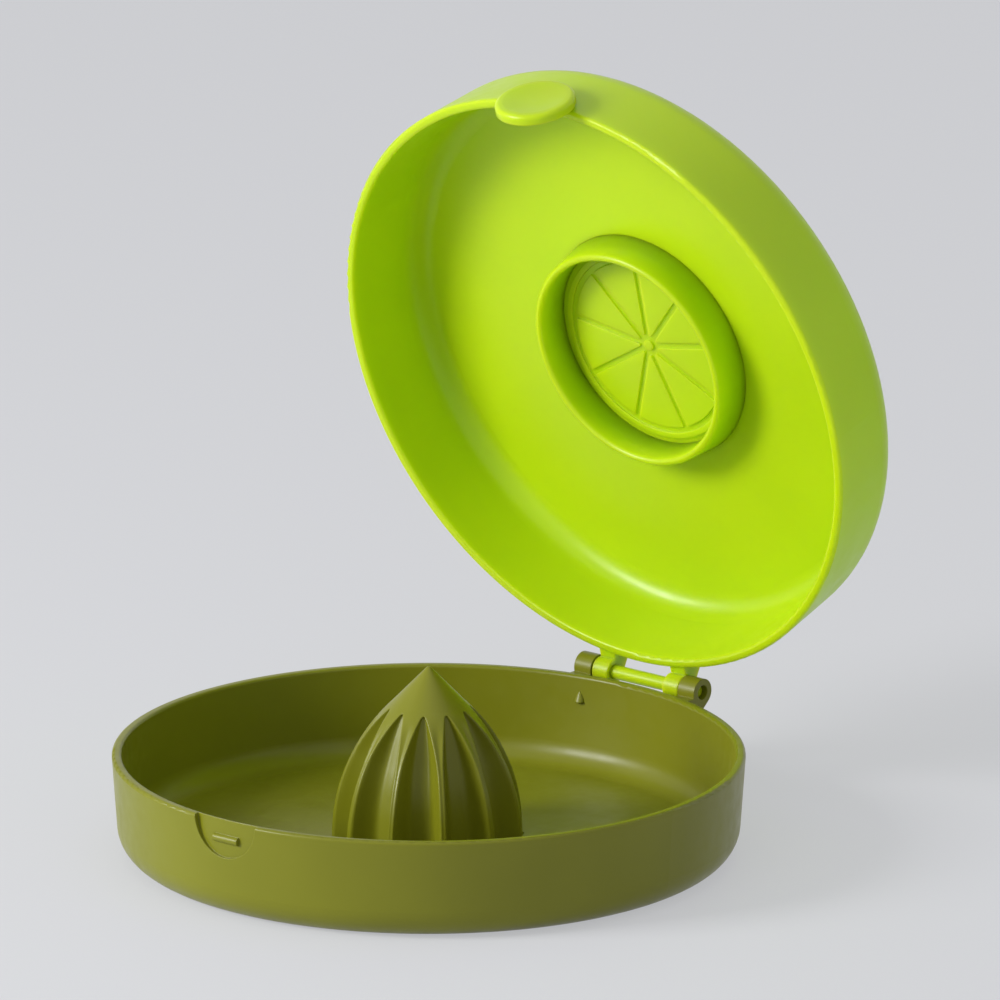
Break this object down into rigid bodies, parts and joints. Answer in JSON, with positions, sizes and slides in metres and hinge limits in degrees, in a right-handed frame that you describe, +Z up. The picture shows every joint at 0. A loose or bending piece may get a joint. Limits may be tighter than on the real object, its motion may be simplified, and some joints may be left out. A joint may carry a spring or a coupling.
{
  "type": "cocktail glass rimmer",
  "caption": "Round hinged two-part glass rimmer with a fluted citrus cone in its dish, a lid with a round collar that opens flat as a second dish, and a round snap tab.",
  "frame": {"origin": "centre of the dish's flat underside", "axes": "+Z up, +X along the hinge pin to the right, +Y back to the hinge; the front, with the snap tab's pocket, is -Y"},
  "size_m": [0.14, 0.1633, 0.167],
  "materials": {
    "olive_plastic": "moulded, semi-gloss",
    "lime_plastic": "moulded, semi-gloss"
  },
  "bodies": {
    "base": {"base_dish": "olive_plastic", "citrus_cone": "olive_plastic"},
    "lid": {"lid": "lime_plastic", "hinge_pin": "lime_plastic"},
    "latch": {"latch_tab": "lime_plastic"}
  },
  "joints": [
    {"name": "lid_hinge", "type": "hinge", "parent": "base", "child": "lid", "pos_m": [0, 0.07385, 0.02315], "axis": [-1, 0, 0], "range_deg": [-76, 104]},
    {"name": "latch_flex", "type": "hinge", "parent": "lid", "child": "latch", "pos_m": [0, 0.04555, 0.16497], "axis": [-1, 0, 0], "range_deg": [0, 8], "stiffness_Nm_per_rad": 0.15}
  ]
}
